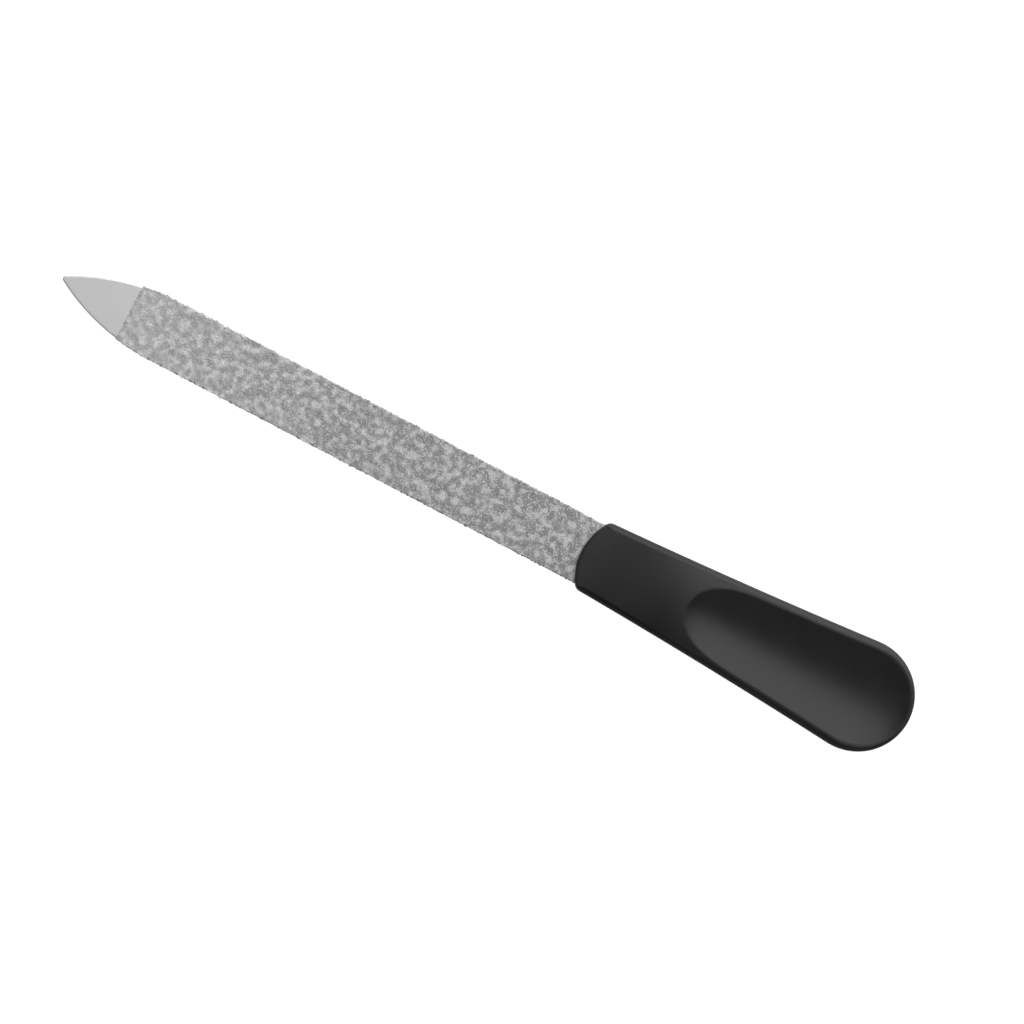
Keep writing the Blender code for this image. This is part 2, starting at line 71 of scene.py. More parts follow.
class Number:
    """A number that varies over a surface; each operator on it adds a Math node."""

    def __init__(self, graph: "Tree", socket: bpy.types.NodeSocket) -> None:
        """Wraps an output socket of the tree."""
        self.graph = graph
        self.socket = socket

    def math(self, operation: str, *values: "Number | float") -> "Number":
        """Adds a Math node.

        Args:
            operation: The node's operation.
            values: What its sockets take, in order.

        Returns:
            The node's result.
        """
        made = self.graph.node("ShaderNodeMath", {"operation": operation}, dict(enumerate(values)))
        return Number(self.graph, made.outputs[0])

    def __add__(self, other: "Number | float") -> "Number":
        """The sum."""
        return self.math("ADD", self, other)

    __radd__ = __add__

    def __sub__(self, other: "Number | float") -> "Number":
        """The difference."""
        return self.math("SUBTRACT", self, other)

    def __rsub__(self, other: float) -> "Number":
        """What is left of a number when this is taken off."""
        return self.math("SUBTRACT", other, self)

    def __mul__(self, other: "Number | float") -> "Number":
        """The product."""
        return self.math("MULTIPLY", self, other)

    __rmul__ = __mul__

    def __truediv__(self, other: "Number | float") -> "Number":
        """The quotient."""
        return self.math("DIVIDE", self, other)

    def held(self) -> "Number":
        """The number, held between 0 and 1."""
        return self.math("MAXIMUM", self.math("MINIMUM", self, 1.0), 0.0)

    def spread(self, gain: float) -> "Number":
        """A noise about one half with more contrast, held between 0 and 1."""
        return ((self - 0.5) * gain + 0.5).held()


class Tree:
    """A tree of shader nodes."""

    def __init__(self, tree: bpy.types.NodeTree) -> None:
        """Wraps the tree."""
        self.tree = tree

    def feed(self, socket: bpy.types.NodeSocket, value: object) -> None:
        """Links a number or socket to the socket, or sets its value.

        Args:
            socket: The input socket.
            value: A number, an output socket or a plain value.
        """
        source = value.socket if isinstance(value, Number) else value
        if isinstance(source, bpy.types.NodeSocket):
            self.tree.links.new(source, socket)
        else:
            socket.default_value = source

    def node(self, kind: str, settings: dict[str, object], inputs: dict) -> bpy.types.Node:
        """Adds any node.

        Args:
            kind: The node's type.
            settings: Its own settings, set first.
            inputs: Values or links of its sockets, by name or number.

        Returns:
            The node.
        """
        made = self.tree.nodes.new(kind)
        for setting, value in settings.items():
            setattr(made, setting, value)
        for key, value in inputs.items():
            self.feed(made.inputs[key], value)
        return made


class Graph(Tree):
    """The node tree of a material with one Principled shader."""

    def __init__(self, name: str, **constants: float) -> None:
        """Starts a material.

        Args:
            name: The material's name.
            constants: Values that are the same all over, by the shader's socket, with _ for a space.
        """
        self.material = bpy.data.materials.new(name)
        self.material.use_nodes = True
        super().__init__(self.material.node_tree)
        self.shader = self.tree.nodes["Principled BSDF"]
        self.place = self.tree.nodes.new("ShaderNodeTexCoord").outputs["Object"]
        for socket, value in constants.items():
            self.shader.inputs[socket.replace("_", " ")].default_value = value

    def noise(self, size: Size, detail: float, shift: float = 0.0) -> Number:
        """Adds a noise on the object's own coordinates.

        Args:
            size: How large the noise's features are along X, Y and Z, in metres.
            detail: Octaves of finer noise.
            shift: How far the pattern is moved, in features, so that two noises differ.

        Returns:
            The noise, about one half.
        """
        scale = tuple(1 / length for length in size)
        mapped = self.node(
            "ShaderNodeMapping", {}, {"Vector": self.place, "Location": (shift,) * 3, "Scale": scale}
        )
        made = self.node(
            "ShaderNodeTexNoise", {}, {"Vector": mapped.outputs[0], "Scale": 1.0, "Detail": detail}
        )
        return Number(self, made.outputs["Fac"])

    def axis(self, letter: str) -> Number:
        """The object's own coordinate along X, Y or Z, in metres."""
        parts = self.node("ShaderNodeSeparateXYZ", {}, {"Vector": self.place})
        return Number(self, parts.outputs[letter])

    def attribute(self, name: str) -> Number:
        """A number stored on the piece's mesh."""
        made = self.node("ShaderNodeAttribute", {"attribute_name": name}, {})
        return Number(self, made.outputs["Fac"])

    def dressed(
        self, dark: Colour, light: Colour, share: Number, roughness: Number, relief: Number, depth: float
    ) -> bpy.types.Material:
        """Feeds the shader's colour, roughness and normal.

        Args:
            dark: The colour where the share is 0.
            light: The colour where the share is 1.
            share: The light colour's share.
            roughness: The roughness.
            relief: The surface's relief, from 0 to 1.
            depth: How deep the relief is, in metres.

        Returns:
            The material.
        """
        blend = self.node(
            "ShaderNodeMix", {"data_type": "RGBA"}, {0: share, 6: (*dark, 1.0), 7: (*light, 1.0)}
        )
        bump = self.node("ShaderNodeBump", {}, {"Height": relief, "Distance": depth})
        self.feed(self.shader.inputs["Base Color"], blend.outputs[2])
        self.feed(self.shader.inputs["Roughness"], roughness)
        self.feed(self.shader.inputs["Normal"], bump.outputs["Normal"])
        return self.material


@dataclass(frozen=True)
class SatinSteel:
    """Stamped strip steel with a fine lengthwise satin finish."""

    dark: Colour = (0.565, 0.565, 0.565)
    light: Colour = (0.65, 0.65, 0.65)
    roughness: float = 0.38
    roughness_change: float = 0.16
    streak: Size = (0.0040, 0.00005, 0.00005)
    cloud: Size = (0.0060, 0.0020, 0.0020)
    streak_share: float = 0.6
    contrast: float = 1.6
    depth: float = 0.0000015

    def material(self) -> bpy.types.Material:
        """Makes the finish's material.

        Returns:
            The material.
        """
        graph = Graph("satin_steel", Metallic=1.0)
        streaks = graph.noise(self.streak, detail=3.0)
        clouds = graph.noise(self.cloud, detail=3.0, shift=5.0)
        share = (streaks * self.streak_share + clouds * (1 - self.streak_share)).spread(self.contrast)
        roughness = self.roughness + (streaks - 0.5) * self.roughness_change
        return graph.dressed(self.dark, self.light, share, roughness, streaks, self.depth)


@dataclass(frozen=True)
class NickelBond:
    """The dull plated metal that the grains stand in."""

    name: str
    dark: Colour
    light: Colour
    roughness: float = 0.55
    roughness_change: float = 0.3
    pit: float = 0.00012
    contrast: float = 2.0
    depth: float = 0.00002

    def material(self) -> bpy.types.Material:
        """Makes the finish's material.

        Returns:
            The material.
        """
        graph = Graph(self.name, Metallic=0.5)
        pits = graph.noise((self.pit,) * 3, detail=4.0)
        roughness = self.roughness + (pits - 0.5) * self.roughness_change
        share = pits.spread(self.contrast)
        return graph.dressed(self.dark, self.light, share, roughness, pits, self.depth)


@dataclass(frozen=True)
class Grit:
    """Angular abrasive grains, plated to unlike degrees and in clumps.

    They are brighter towards the tip, and darker along their front line, where a painted shadow stands for
    the shade at the coat's edge.
    """

    name: str
    dark: Colour
    light: Colour
    roughness: float = 0.68
    roughness_change: float = 0.25
    tone_share: float = 0.2
    clump: float = 0.0010
    contrast: float = 3.4
    facet: float = 0.00006
    depth: float = 0.000002
    tip_brightening_gain: float = 0.0
    tip_brightening_middle: float = 0.35
    painted_shadow_band: float = 0.0005
    painted_shadow_share: float = 0.4

    def material(self) -> bpy.types.Material:
        """Makes the finish's material.

        Returns:
            The material.
        """
        graph = Graph(self.name, Metallic=0.35)
        tone = graph.attribute(Grains.TONE)
        clumps = graph.noise((self.clump,) * 3, detail=1.0).spread(self.contrast)
        facets = graph.noise((self.facet,) * 3, detail=2.0, shift=3.0)
        low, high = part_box("coarse_abrasive")
        along = ((graph.axis("X") - low.x) / (high.x - low.x)).held()
        # painted shadow: the grit's colour is darkened in a band along the coat's front line
        inside = ((high.x - graph.axis("X")) / self.painted_shadow_band).held()
        share = tone * self.tone_share + clumps * clumps * (1 - self.tone_share)
        # the grit's colour grows lighter towards the tip, along the blade
        share = share + (along * along - self.tip_brightening_middle) * self.tip_brightening_gain
        share = (share * (inside * (1 - self.painted_shadow_share) + self.painted_shadow_share)).held()
        roughness = self.roughness + (tone - 0.5) * self.roughness_change
        return graph.dressed(self.dark, self.light, share, roughness, facets, self.depth)


@dataclass(frozen=True)
class BlackPlastic:
    """Moulded black plastic with the fine matte grain of its mould.

    Its colour is painted blacker between the mouth and the scoop: a painted shade over the handle's front.
    """

    dark: Colour = (0.0023, 0.0023, 0.0024)
    light: Colour = (0.0113, 0.0113, 0.0116)
    roughness: float = 0.456
    specular: float = 0.28
    grain: float = 0.00009
    grain_roughness: float = 0.06
    cloud: float = 0.0035
    cloud_roughness: float = 0.08
    contrast: float = 1.8
    least_share: float = 0.4
    depth: float = 0.0000022
    painted_shade_from: float = -0.0318
    painted_shade_to: float = -0.0165
    painted_shade_fade: float = 0.0035
    painted_shade_loss: float = 0.75

    def material(self) -> bpy.types.Material:
        """Makes the finish's material.

        Returns:
            The material.
        """
        graph = Graph("black_plastic", Metallic=0.0, Specular_IOR_Level=self.specular)
        grain = graph.noise((self.grain,) * 3, detail=3.0)
        clouds = graph.noise((self.cloud,) * 3, detail=3.0, shift=7.0)
        along = graph.axis("X")
        # painted shade: the colour is darkened between the mouth and the scoop
        held = ((along - self.painted_shade_from) / self.painted_shade_fade).held()
        held = held * ((self.painted_shade_to - along) / self.painted_shade_fade).held()
        mottled = (grain * 0.5 + clouds * 0.5).spread(self.contrast)
        share = mottled * (1 - self.least_share) + self.least_share
        share = share * (1 - held * self.painted_shade_loss)
        roughness = self.roughness + (clouds - 0.5) * self.cloud_roughness
        roughness = roughness + (grain - 0.5) * self.grain_roughness
        return graph.dressed(self.dark, self.light, share, roughness, grain, self.depth)


class Bench:
    """The modelling moves that the pieces share, made with Blender's own operators."""

    @staticmethod
    def take(piece: bpy.types.Object) -> None:
        """Makes the piece the only selected object and the active one.

        Args:
            piece: The piece.
        """
        bpy.ops.object.select_all(action="DESELECT")
        piece.select_set(True)
        bpy.context.view_layer.objects.active = piece

    @staticmethod
    def named(name: str) -> bpy.types.Object:
        """Names the primitive that was just added, and returns it.

        Args:
            name: Its new name.

        Returns:
            The primitive.
        """
        piece = bpy.context.object
        piece.name = name
        piece.data.name = name
        return piece

    @staticmethod
    @contextmanager
    def editing(piece: bpy.types.Object) -> Iterator[None]:
        """Edit mode on the piece with all of it selected, for the length of a with block.

        Args:
            piece: The piece.

        Returns:
            What the with statement runs.
        """
        Bench.take(piece)
        bpy.ops.object.mode_set(mode="EDIT")
        bpy.ops.mesh.select_all(action="SELECT")
        yield
        bpy.ops.object.mode_set(mode="OBJECT")

    @staticmethod
    def sheet(name: str, rows: np.ndarray) -> bpy.types.Object:
        """Adds a grid and lays it on rows of points.

        Args:
            name: Name of the new piece.
            rows: The points, by row, place in the row, and axis.

        Returns:
            The sheet.
        """
        down, across = rows.shape[:2]
        bpy.ops.mesh.primitive_grid_add(x_subdivisions=across - 1, y_subdivisions=down - 1, size=1)
        piece = Bench.named(name)
        piece.data.vertices.foreach_set("co", rows.astype(np.float32).ravel())
        piece.data.update()
        return piece

    @staticmethod
    def wrap(name: str, rings: np.ndarray) -> bpy.types.Object:
        """Wraps a grid round rings of points, and closes its seam, its poles and its open ends.

        Args:
            name: Name of the new piece.
            rings: The points, by ring, place in the ring, and axis.

        Returns:
            The closed piece, with its faces facing out.
        """
        piece = Bench.sheet(name, np.concatenate([rings, rings[:, :1]], axis=1))
        with Bench.editing(piece):
            bpy.ops.mesh.remove_doubles(threshold=MERGE_DISTANCE)
            bpy.ops.mesh.fill_holes(sides=0)
            bpy.ops.mesh.normals_make_consistent(inside=False)
        return piece

    @staticmethod
    def finish(piece: bpy.types.Object, kind: str, **settings: object) -> None:
        """Adds a modifier to the piece and applies it.

        Args:
            piece: The piece to finish.
            kind: The modifier's type.
            settings: The modifier's settings.
        """
        Bench.take(piece)
        modifier = piece.modifiers.new(kind.lower(), kind)
        for setting, value in settings.items():
            setattr(modifier, setting, value)
        bpy.ops.object.modifier_apply(modifier=modifier.name)

    @staticmethod
    def cut(piece: bpy.types.Object, cutter: bpy.types.Object) -> None:
        """Takes the cutter out of the piece, and removes the cutter."""
        Bench.finish(piece, "BOOLEAN", operation="DIFFERENCE", solver="EXACT", object=cutter)
        bpy.data.objects.remove(cutter)

    @staticmethod
    def seat(piece: bpy.types.Object, finish: object, slot: str, node: str | None = None) -> None:
        """Gives a finished piece its material, its body and its place in the frame.

        Args:
            piece: The piece.
            finish: The finish, which makes the material.
            slot: The record's material slot; not used.
            node: The CAD node that the piece stands for, where it stands for one.
        """
        piece.data.materials.clear()
        piece.data.materials.append(finish.material())
        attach(piece, BODY)
        if node:
            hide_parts(node)
        log.info("%s: %d faces", piece.name, len(piece.data.polygons))


def smooth_step(value: np.ndarray) -> np.ndarray:
    """An even climb from 0 to 1 that starts and ends level."""
    held = np.clip(value, 0.0, 1.0)
    return held * held * (3 - 2 * held)


def soft_least(first: np.ndarray, second: np.ndarray, softness: float) -> np.ndarray:
    """The lesser of two heights, with the ridge where they meet rounded over.

    Args:
        first: Heights of one surface.
        second: Heights of the other.
        softness: The difference in height over which they blend.

    Returns:
        The blended heights.
    """
    reach = np.maximum(softness - np.abs(first - second), 0.0)
    return np.minimum(first, second) - reach**2 / (4 * softness)


@dataclass
class Outline:
    """A closed outline seen from above: points, the way out at each, and what shapes its edge there.

    share scales the edge's rounding at a point, and spine is the place on the axis that the rings
    inside the outline close in on.
    """

    points: np.ndarray
    out: np.ndarray
    share: np.ndarray
    spine: np.ndarray

    @staticmethod
    def arc(
        centre: tuple[float, float], radius: float, start: float, end: float, steps: int, facing: int = 1
    ) -> tuple[np.ndarray, np.ndarray]:
        """Points on an arc and the way out at each.

        Args:
            centre: The arc's centre.
            radius: Its radius.
            start: The angle of its first point.
            end: The angle of its last point.
            steps: The number of steps between them.
            facing: 1 where the outline bulges there, -1 where it is hollow.

        Returns:
            The points and the ways out.
        """
        angles = np.linspace(start, end, steps + 1)
        ray = np.stack([np.cos(angles), np.sin(angles)], axis=1)
        return np.array(centre) + radius * ray, facing * ray

    @classmethod
    def mirrored(
        cls, points: np.ndarray, out: np.ndarray, share: np.ndarray, spine: np.ndarray
    ) -> "Outline":
        """Closes a half outline that runs from the front by +Y to the rear, on the axis at both ends.

        Args:
            points: The half's points.
            out: The way out at each.
            share: The share of the edge's rounding at each.
            spine: The place on the axis for each.

        Returns:
            The closed outline.
        """
        flip = np.array([1.0, -1.0])
        sides = ((points, flip), (out, flip), (share, 1.0), (spine, 1.0))
        return cls(*(np.concatenate([half, half[-2:0:-1] * turned]) for half, turned in sides))

    def inset(self, distance: np.ndarray | float) -> np.ndarray:
        """The points moved in from the edge."""
        return self.points - self.out * np.reshape(distance, (-1, 1))


def ring(points: np.ndarray, heights: np.ndarray | float) -> np.ndarray:
    """A ring of points in space, from its places seen from above and its heights."""
    return np.column_stack([points, np.broadcast_to(heights, len(points))])


@dataclass
class SteelBlank:
    """The stamped blank: blade with an ogive tip and ground edges, root, and tang with its holes."""

    tip_length: float = 0.0150
    nose_radius: float = 0.0004
    ground_width: float = 0.0002
    ground_depth: float = 0.0002
    root_reach: float = 0.0014
    tang_width: float = 0.0060
    corner_radius: float = 0.0012
    shoulder_radius: float = 0.0008
    edge_break: float = 0.0001
    hole_diameter: float = 0.0026
    hole_setback: float = 0.0060
    hole_pitch: float = 0.0110
    holes: int = 2
    softened: float = 0.00003
    soft_steps: int = 2
    soft_angle: float = math.radians(20)
    smooth_angle: float = math.radians(12)
    nose_steps: int = 8
    ogive_steps: int = 60
    corner_steps: int = 8
    hole_steps: int = 48

    def __post_init__(self) -> None:
        """Works out the places that follow from the sizes."""
        self.low, self.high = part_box("steel_blank")
        self.half_width = self.high.y
        self.middle = (self.low.z + self.high.z) / 2
        self.thickness = self.high.z - self.low.z
        self.tangent_x = self.high.x - self.tip_length
        reach = self.tip_length - self.nose_radius
        self.ogive = (reach**2 + self.half_width**2 - self.nose_radius**2) / (
            2 * (self.half_width - self.nose_radius)
        )
        self.coat_rear_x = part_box("coarse_abrasive")[0].x
        self.shoulder_x = self.coat_rear_x - self.root_reach

    def half_width_at(self, x: np.ndarray) -> np.ndarray:
        """Half-width of the blade at x, ahead of its root and behind its nose."""
        past = np.maximum(x - self.tangent_x, 0.0)
        return np.sqrt(self.ogive**2 - past**2) - (self.ogive - self.half_width)

    def outline(self) -> Outline:
        """The blank's outline, from the nose by the shoulders to the end of the tang.

        Returns:
            The outline, with share 1 where its edge is ground.
        """
        quarter = math.pi / 2
        nose_x = self.high.x - self.nose_radius
        meeting = math.atan2(self.ogive - self.half_width, nose_x - self.tangent_x)
        side_y = self.half_width - self.ogive
        tang_y = self.tang_width / 2
        outer = self.shoulder_radius
        corner = self.corner_radius
        parts = [
            Outline.arc((nose_x, 0), self.nose_radius, 0, meeting, self.nose_steps),
            Outline.arc((self.tangent_x, side_y), self.ogive, meeting, quarter, self.ogive_steps),
            (np.array([[self.coat_rear_x, self.half_width]]), np.array([[0.0, 1.0]])),
            Outline.arc(
                (self.shoulder_x + outer, self.half_width - outer),
                outer, quarter, 2 * quarter, self.corner_steps,
            ),
            Outline.arc(
                (self.shoulder_x - outer, tang_y + outer), outer, 0, -quarter, self.corner_steps, -1
            ),
            Outline.arc(
                (self.low.x + corner, tang_y - corner), corner, quarter, 2 * quarter, self.corner_steps
            ),
            (np.array([[self.low.x, 0.0]]), np.array([[-1.0, 0.0]])),
        ]
        points, out = (np.concatenate(column) for column in zip(*parts))
        ground = points[:, 0] >= self.coat_rear_x
        return Outline.mirrored(points, out, ground.astype(float), points[:, 0])

    def ground_line(self, outline: Outline) -> np.ndarray:
        """The inner line of the ground edge, closed to a point where the two sides meet at the tip.

        Args:
            outline: The blank's outline.

        Returns:
            The line's points, one for each of the outline.
        """
        width = np.where(outline.share > 0, self.ground_width, self.edge_break)
        line = outline.inset(width)
        inner = self.ogive - self.ground_width
        reach = math.sqrt(inner**2 - (self.ogive - self.half_width) ** 2)
        tip_x = self.tangent_x + reach
        side = np.sign(outline.points[:, 1])
        ogival = outline.points[:, 0] > self.tangent_x
        crossed = (line[:, 0] > tip_x) | (line[:, 1] * side <= 0) & ogival
        line[crossed] = np.column_stack([np.minimum(line[crossed, 0], tip_x), np.zeros(crossed.sum())])
        return line

    def build(self) -> bpy.types.Object:
        """Models the blank: rings round its section, lock holes, and softened edges.

        Returns:
            The blank.
        """
        outline = self.outline()
        line = self.ground_line(outline)
        half = self.thickness / 2
        depth = np.where(outline.share > 0, self.ground_depth, self.edge_break)
        rings = np.stack([
            ring(line, self.middle - half),
            ring(outline.points, self.middle - half + depth),
            ring(outline.points, self.middle + half - depth),
            ring(line, self.middle + half),
        ])
        blank = Bench.wrap("steel_blade", rings)
        for number in range(self.holes):
            x = self.shoulder_x - self.hole_setback - number * self.hole_pitch
            bpy.ops.mesh.primitive_cylinder_add(
                vertices=self.hole_steps,
                radius=self.hole_diameter / 2,
                depth=2 * self.thickness,
                location=(x, 0, self.middle),
            )
            Bench.cut(blank, Bench.named("lock_hole"))
        Bench.finish(
            blank, "BEVEL", width=self.softened, segments=self.soft_steps, limit_method="ANGLE",
            angle_limit=self.soft_angle, use_clamp_overlap=True,
        )
        Bench.take(blank)
        bpy.ops.object.shade_smooth_by_angle(angle=self.smooth_angle)
        return blank


@dataclass
class Grains:
    """Angular grains: a few shapes chipped from cubes, copied over a sheet.

    A shape is about 1 across. spacing, size and overhang are in metres: the spacing of the seats, how
    large a grain is, and how far one may reach past the sheet's edges.
    """

    name: str
    spacing: float
    size: float
    lift_share: float
    seed: int
    chips: int
    shapes: int = 7
    cube_side: float = 0.8
    chip_reach: tuple[float, float] = (0.34, 0.46)
    stretch: float = 0.35
    tilt: float = 0.3
    size_range: tuple[float, float] = (0.75, 1.25)
    height_share: float = 0.10
    overhang: float = 0.00011
    tries_per_seat: int = 6
    TONE = "tone"

    def chip(self, dice: np.random.Generator) -> tuple[np.ndarray, np.ndarray]:
        """Models one grain about the origin: a cube whose corners are struck off.

        Args:
            dice: Where the random numbers come from.

        Returns:
            The grain's points, one across, and its triangles.
        """
        bpy.ops.mesh.primitive_cube_add(size=self.cube_side)
        grain = Bench.named("grain_shape")
        with Bench.editing(grain):
            bpy.ops.transform.resize(value=tuple(1 + dice.uniform(-self.stretch, self.stretch, 3)))
            for _ in range(self.chips):
                facing = Vector(dice.normal(size=3)).normalized()
                bpy.ops.mesh.select_all(action="SELECT")
                bpy.ops.mesh.bisect(
                    plane_co=facing * dice.uniform(*self.chip_reach), plane_no=facing,
                    use_fill=True, clear_outer=True,
                )
            bpy.ops.mesh.select_all(action="SELECT")
            bpy.ops.mesh.quads_convert_to_tris()
            bpy.ops.mesh.normals_make_consistent(inside=False)
        points = np.array([vertex.co for vertex in grain.data.vertices])
        faces = np.array([face.vertices for face in grain.data.polygons])
        bpy.data.objects.remove(grain)
        return points, faces

    def seats(self, sheet: bpy.types.Object, dice: np.random.Generator) -> tuple[np.ndarray, np.ndarray]:
        """Finds seats for the grains on a sheet, none nearer to another than the spacing.

        Args:
            sheet: The sheet that carries the grains on its outer side.
            dice: Where the random numbers come from.

        Returns:
            The seats' points, and the way out of the sheet at each.
        """
        mesh = sheet.data
        mesh.calc_loop_triangles()
        corners = np.array([vertex.co for vertex in mesh.vertices])
        triangles = corners[np.array([triangle.vertices for triangle in mesh.loop_triangles])]
        cross = np.cross(triangles[:, 1] - triangles[:, 0], triangles[:, 2] - triangles[:, 0])
        areas = np.linalg.norm(cross, axis=1) / 2
        tries = int(self.tries_per_seat * areas.sum() / self.spacing**2)
        picked = dice.choice(len(areas), size=tries, p=areas / areas.sum())
        shares = dice.dirichlet((1.0, 1.0, 1.0), size=tries)
        points = np.einsum("nc,nca->na", shares, triangles[picked])
        normals = cross[picked] / (2 * areas[picked])[:, None]
        kept: list[int] = []
        cells: dict[tuple[int, ...], list[int]] = {}
        near = [(a, b, c) for a in (-1, 0, 1) for b in (-1, 0, 1) for c in (-1, 0, 1)]
        keys = np.floor(points / self.spacing).astype(int)
        for index, key in enumerate(map(tuple, keys.tolist())):
            gaps = points[cells.get(key, [])] - points[index]
            if (gaps * gaps).sum(axis=1).min(initial=1.0) < self.spacing**2:
                continue
            for step in near:
                cells.setdefault(tuple(map(sum, zip(key, step))), []).append(index)
            kept.append(index)
        return points[kept], normals[kept]

    def build(
        self, sheet: bpy.types.Object, room: Callable[[np.ndarray], np.ndarray]
    ) -> bpy.types.Object:
        """Copies the grain shapes onto the sheet, each turned, sized and sunk by chance.

        Args:
            sheet: The sheet that carries the grains.
            room: Gives the distance of seats from the sheet's edges.

        Returns:
            All the grains as one piece, with a tone for each.
        """
        dice = np.random.default_rng(self.seed)
        shapes = [self.chip(dice) for _ in range(self.shapes)]
        points, normals = self.seats(sheet, dice)
        kinds = dice.integers(self.shapes, size=len(points))
        places, faces, tones = [], [], []
        total = 0
        for kind, (shape, triangles) in enumerate(shapes):
            chosen = kinds == kind
            count = int(chosen.sum())
            quaternions = dice.normal(size=(count, 4)) * (1.0, self.tilt, self.tilt, 1.0)
            turns = np.array([Quaternion(values).normalized().to_matrix() for values in quaternions])
            sizes = self.size * dice.uniform(*self.size_range, size=count)
            most = (room(points[chosen]) + self.overhang) / (self.cube_side / 2)
            sizes = np.minimum(sizes, most)[:, None, None]
            out = normals[chosen][:, None]
            copies = np.einsum("nij,vj->nvi", turns, shape) * sizes
            sunk = (copies * out).sum(axis=2, keepdims=True) * (1 - self.height_share)
            copies += points[chosen][:, None] + out * (sizes * self.lift_share - sunk)
            steps = total + len(shape) * np.arange(count)
            places.append(copies.reshape(-1, 3))
            faces.append((triangles[None] + steps[:, None, None]).reshape(-1, 3))
            tones.append(np.repeat(dice.uniform(size=count), len(shape)))
            total += count * len(shape)
        mesh = bpy.data.meshes.new(self.name)
        mesh.from_pydata(np.concatenate(places), [], np.concatenate(faces))
        tone = mesh.attributes.new(self.TONE, "FLOAT", "POINT")
        tone.data.foreach_set("value", np.concatenate(tones).astype(np.float32))
        grains = bpy.data.objects.new(self.name, mesh)
        bpy.context.scene.collection.objects.link(grains)
        return grains


@dataclass
class AbrasiveCoat:
    """One face's abrasive: a plated sheet folded over the blade's face and edges, and its grains."""

    name: str
    node: str
    slot: str
    face: Face
    blank: SteelBlank
    bond_thickness: float
    bond_finish: NickelBond
    grains: Grains
    grit_finish: Grit
    bond_gap: float = 0.00005
    edge_thickness: float = 0.00006
    corner_width: float = 0.00008
    thin_length: float = 0.006
    ripple: float = 0.00005
    ripple_size: float = 0.0011
    wall_share: float = 0.8
    pitch: float = 0.00025
    edge_steps: int = 2
    corner_steps: int = 3

    def edge(self, x: np.ndarray) -> np.ndarray:
        """Half-width of the coated blade at x: the coat is worn thin round the edges at its front.

        Args:
            x: Places along the file.

        Returns:
            The half-width at each.
        """
        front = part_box(self.node)[1].x
        coat = self.edge_thickness * smooth_step((front - x) / self.thin_length)
        return self.blank.half_width_at(x) + self.bond_gap + coat

    def room(self, points: np.ndarray) -> np.ndarray:
        """Distance of points on the sheet from its sides and front, as seen from above."""
        sides = self.edge(points[:, 0]) - np.abs(points[:, 1])
        return np.maximum(np.minimum(sides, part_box(self.node)[1].x - points[:, 0]), 0.0)

    def section(self, edge_y: np.ndarray) -> np.ndarray:
        """Corners of the sheet's section, as (y, height over the mid-plane), from +Y to the axis.

        Args:
            edge_y: Half-width of the coated blade at each station.

        Returns:
            Foot of the edge, top of the edge and corner of the face, by station, corner and axis.
        """
        face_z = self.blank.thickness / 2 + self.bond_gap + self.bond_thickness
        foot = np.stack([edge_y, np.full_like(edge_y, self.bond_gap / 2)], axis=1)
        top = np.stack([edge_y, np.full_like(edge_y, face_z - self.corner_width)], axis=1)
        corner = np.stack([edge_y - self.corner_width, np.full_like(edge_y, face_z)], axis=1)
        return np.stack([foot, top, corner], axis=1)

    def rows(self) -> np.ndarray:
        """The sheet's points, by station along the blade, place across it, and axis.

        Returns:
            The points, in an order that turns the sheet's faces outwards.
        """
        low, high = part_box(self.node)
        stations = np.linspace(low.x, high.x, round((high.x - low.x) / self.pitch) + 1)
        corners = self.section(self.edge(stations))
        mirrored = corners[:, ::-1] * np.array([-1.0, 1.0])
        corners = np.concatenate([corners, mirrored], axis=1)
        sides = [self.edge_steps, self.corner_steps]
        legs = [*sides, round(2 * self.blank.half_width / self.pitch), *reversed(sides)]
        parts = [
            corners[:, leg, None] + (corners[:, leg + 1, None] - corners[:, leg, None])
            * np.arange(steps)[None, :, None] / steps
            for leg, steps in enumerate(legs)
        ]
        across = np.concatenate([*parts, corners[:, -1:]], axis=1)
        x = np.broadcast_to(stations[:, None, None], (*across.shape[:2], 1))
        rows = np.concatenate([x, across], axis=2)
        inner = slice(self.edge_steps + 1, -self.edge_steps - 1)
        for row in rows:
            for point in row[inner]:
                wave = noise.noise(Vector((point[0], point[1], self.grains.seed)) / self.ripple_size)
                point[2] += self.ripple * wave
        rows[:, :, 2] = self.blank.middle + self.face.value * rows[:, :, 2]
        return rows if self.face is Face.FRONT else rows[:, ::-1]

    def build(self) -> None:
        """Models the bond and the grains on it, and seats both in the frame."""
        bond = Bench.sheet(self.name + "_bond", self.rows())
        grains = self.grains.build(bond, self.room)
        wall = self.bond_thickness * self.wall_share
        Bench.finish(bond, "SOLIDIFY", thickness=wall, offset=-1.0, use_even_offset=True)
        Bench.take(bond)
        bpy.ops.object.shade_smooth_by_angle(angle=SMOOTH_ANGLE)
        Bench.seat(bond, self.bond_finish, self.slot, self.node)
        Bench.seat(grains, self.grit_finish, self.slot)


